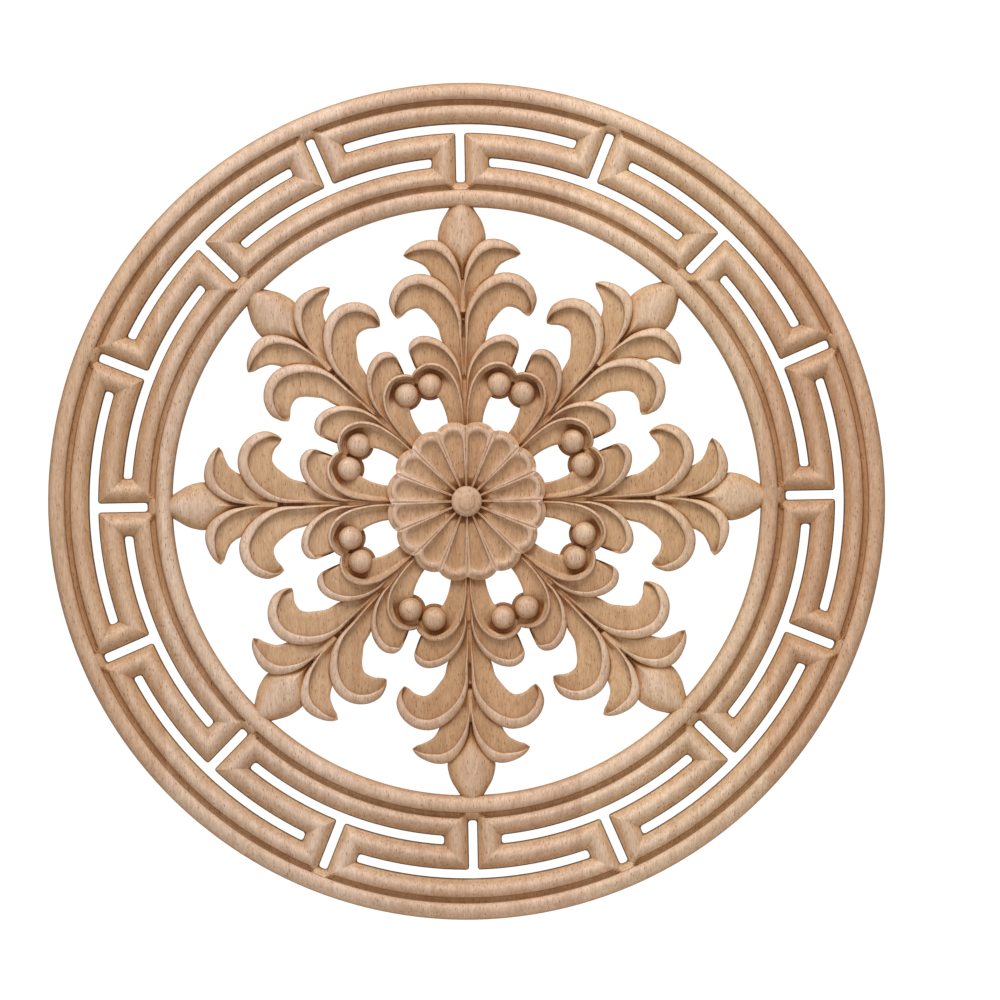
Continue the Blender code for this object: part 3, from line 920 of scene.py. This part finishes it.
def beech():
    """The wood's material, from the place in the wood, the normal and the recess attribute."""
    wood = bpy.data.materials.new("bare_beech")
    wood.use_nodes = True
    tree = wood.node_tree
    nodes, links = tree.nodes, tree.links
    shader = nodes["Principled BSDF"]
    shader.inputs["Specular IOR Level"].default_value = 0.35
    place_in_wood = nodes.new("ShaderNodeTexCoord").outputs["Object"]

    def maths(operation, *values):
        node = nodes.new("ShaderNodeMath")
        node.operation = operation
        for socket, value in zip(node.inputs, values):
            if isinstance(value, (int, float)):
                socket.default_value = value
            else:
                links.new(value, socket)
        return node.outputs[0]

    def stretched(scale):
        node = nodes.new("ShaderNodeMapping")
        node.inputs["Scale"].default_value = scale
        links.new(place_in_wood, node.inputs["Vector"])
        return node.outputs[0]

    def noise(scale, detail, roughness=0.5):
        node = nodes.new("ShaderNodeTexNoise")
        node.inputs["Scale"].default_value = 1.0
        node.inputs["Detail"].default_value = detail
        node.inputs["Roughness"].default_value = roughness
        links.new(stretched(scale), node.inputs["Vector"])
        return node.outputs["Fac"]

    def remap(value, low, high, to_low=0.0, to_high=1.0):
        node = nodes.new("ShaderNodeMapRange")
        node.interpolation_type = "SMOOTHSTEP"
        for name, number in zip(("From Min", "From Max", "To Min", "To Max"),
                                (low, high, to_low, to_high)):
            node.inputs[name].default_value = number
        links.new(value, node.inputs["Value"])
        return node.outputs[0]

    def tint(colour, other, share):
        """The colour multiplied by the other one, as far as share says."""
        node = nodes.new("ShaderNodeMix")
        node.data_type = "RGBA"
        node.blend_type = "MULTIPLY"
        for socket, value in ((node.inputs[0], share), (node.inputs[6], colour),
                              (node.inputs[7], other)):
            if isinstance(value, (int, float)):
                socket.default_value = value
            elif isinstance(value, tuple):
                socket.default_value = (*value, 1.0)
            else:
                links.new(value, socket)
        return node.outputs[2]

    split = nodes.new("ShaderNodeSeparateXYZ")
    links.new(place_in_wood, split.inputs[0])
    strips = nodes.new("ShaderNodeValToRGB")
    strips.color_ramp.interpolation = "CONSTANT"
    ramp = strips.color_ramp.elements
    while len(ramp) < len(STRIPS):
        ramp.new(0.5)
    for stop, (edge, _) in zip(ramp, STRIPS):
        stop.position = edge / STRIP_SPAN + 0.5
    for stop, (_, tone) in zip(ramp, STRIPS):
        stop.color = (*[channel * RAMP_SCALE for channel in tone], 1.0)
    across = maths("MULTIPLY_ADD", split.outputs["X"], 1.0 / (STRIP_SPAN * MM), 0.5)
    links.new(across, strips.inputs["Fac"])

    plain = tuple(channel / RAMP_SCALE for channel in BEECH)
    colour = tint(plain, strips.outputs["Color"], 1.0)
    clouds = remap(noise(CLOUD_SCALE, 2.0), 0.3, 0.7)
    colour = tint(colour, CLOUD_TONE, clouds)
    growth = remap(noise(GROWTH_SCALE, 3.0, 0.6), 0.35, 0.68)
    colour = tint(colour, GROWTH_TONE, growth)
    fibre = remap(noise(FIBRE_SCALE, 2.0, 0.6), 0.35, 0.7)
    colour = tint(colour, FIBRE_TONE, fibre)

    specks = nodes.new("ShaderNodeTexVoronoi")
    specks.inputs["Scale"].default_value = 1.0
    specks.inputs["Randomness"].default_value = 1.0
    links.new(stretched(FLECK_SCALE), specks.inputs["Vector"])
    chosen = nodes.new("ShaderNodeSeparateColor")
    links.new(specks.outputs["Color"], chosen.inputs[0])
    size = maths("MULTIPLY", chosen.outputs["Red"], FLECK_SIZE)
    fleck = maths("SUBTRACT", size, specks.outputs["Distance"])
    fleck = remap(fleck, 0.0, FLECK_EDGE)
    colour = tint(colour, FLECK_BROWN, maths("MULTIPLY", fleck, FLECK_STRENGTH))

    facing = nodes.new("ShaderNodeNewGeometry")
    turned = nodes.new("ShaderNodeSeparateXYZ")
    links.new(facing.outputs["True Normal"], turned.inputs[0])
    carved = remap(turned.outputs["Y"], *CARVED, 1.0, 0.0)
    # Low places get browner: partly sanding wear, partly painted shade.
    low = remap(split.outputs["Y"], *LOW_PLACES)
    colour = tint(colour, LOW_WEAR_AND_SHADE, maths("MULTIPLY", low, carved))
    # The deepest places get painted shade.
    deep = remap(split.outputs["Y"], *DEEP_PLACES)
    colour = tint(colour, DEEP_SHADE, maths("MULTIPLY", deep, carved))
    # Shut-in corners get painted shade from the recess attribute.
    shut_in = nodes.new("ShaderNodeAttribute")
    shut_in.attribute_name = "recess"
    corner = remap(shut_in.outputs["Fac"], *CORNERS)
    colour = tint(colour, CORNER_SHADE, corner)
    wall = remap(maths("ABSOLUTE", turned.outputs["Y"]), *STEEP, 1.0, 0.0)
    colour = tint(colour, WALL_BROWN, maths("MULTIPLY", wall, carved))
    links.new(colour, shader.inputs["Base Color"])

    grain = maths("ADD", maths("MULTIPLY", fibre, 0.6), maths("MULTIPLY", growth, 0.4))
    grain = maths("ADD", grain, fleck)
    roughness = remap(fibre, 0.0, 1.0, *ROUGHNESS)
    links.new(roughness, shader.inputs["Roughness"])
    bump = nodes.new("ShaderNodeBump")
    bump.invert = True
    bump.inputs["Strength"].default_value = BUMP_STRENGTH
    bump.inputs["Distance"].default_value = BUMP_HEIGHT
    links.new(grain, bump.inputs["Height"])
    links.new(bump.outputs["Normal"], shader.inputs["Normal"])
    return wood


medallion.data.materials.append(beech())
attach(medallion, "root")
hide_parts("carved_medallion")

# The studio: a pale floor below, an even surround that the camera sees as white, a large soft
# light above, in front and a little to the left, and a long lens square to the carving.
# PIXEL is the millimetres in one pixel of the photo, and PHOTO_CENTRE is where the disc's
# centre lies in it, in pixels. The floor and the light are in metres.
PIXEL = 0.3582
PHOTO_CENTRE = (466.6, 501.3)
ROLL = radians(-1.07)
LENS = 1000.0
SENSOR = 36.0
HALF_FRAME = 500.0
FLOOR_DROP = 0.42
FLOOR_HALF = 1.2
FLOOR_COLOUR = (0.80, 0.78, 0.75, 1.0)
SURROUND_LIGHT = (0.62, 0.593, 0.562, 1.0)
SURROUND_SEEN = (1.05, 1.05, 1.05, 1.0)
KEY_PLACE = (-0.12, -0.9, 1.5)
KEY_SIZE = 1.0
KEY_POWER = 30.0

scene = bpy.context.scene
scene.view_settings.view_transform = "Standard"
scene.view_settings.look = "None"

floor_shape = bmesh.new()
bmesh.ops.create_grid(floor_shape, x_segments=1, y_segments=1, size=FLOOR_HALF)
bmesh.ops.translate(floor_shape, vec=(0, 0, -FLOOR_DROP), verts=floor_shape.verts[:])
floor = to_object("studio_floor", floor_shape)
pale = bpy.data.materials.new("pale_floor")
pale.use_nodes = True
pale_shader = pale.node_tree.nodes["Principled BSDF"]
pale_shader.inputs["Base Color"].default_value = FLOOR_COLOUR
pale_shader.inputs["Roughness"].default_value = 0.8
floor.data.materials.append(pale)

world = bpy.data.worlds.new("studio")
world.use_nodes = True
scene.world = world
surround = world.node_tree.nodes["Background"]
shown = world.node_tree.nodes.new("ShaderNodeLightPath")
glow = world.node_tree.nodes.new("ShaderNodeMix")
glow.data_type = "RGBA"
glow.inputs[6].default_value = SURROUND_LIGHT
glow.inputs[7].default_value = SURROUND_SEEN
world.node_tree.links.new(shown.outputs["Is Camera Ray"], glow.inputs[0])
world.node_tree.links.new(glow.outputs[2], surround.inputs["Color"])

key_data = bpy.data.lights.new("soft_key", "AREA")
key_data.shape = "DISK"
key_data.size = KEY_SIZE
key_data.energy = KEY_POWER
key_light = bpy.data.objects.new("soft_key", key_data)
key_light.location = KEY_PLACE
to_disc = Vector((0, 0, 0)) - key_light.location
key_light.rotation_euler = to_disc.to_track_quat("-Z", "Y").to_euler()
scene.collection.objects.link(key_light)

camera_data = bpy.data.cameras.new("front_camera")
camera_data.lens = LENS
camera_data.sensor_width = SENSOR
camera_data.clip_end = 40.0
camera = bpy.data.objects.new("front_camera", camera_data)
distance = HALF_FRAME * PIXEL * MM / (SENSOR / 2 / LENS) + DISC_THICKNESS * MM
across = (HALF_FRAME - PHOTO_CENTRE[0]) * PIXEL * MM
up = (PHOTO_CENTRE[1] - HALF_FRAME) * PIXEL * MM
facing_disc = Matrix.Rotation(pi / 2, 3, "X") @ Matrix.Rotation(ROLL, 3, "Z")
camera.rotation_euler = facing_disc.to_euler()
frame_axes = camera.rotation_euler.to_matrix()
camera.location = frame_axes @ Vector((across, up, distance))
scene.collection.objects.link(camera)
scene.camera = camera
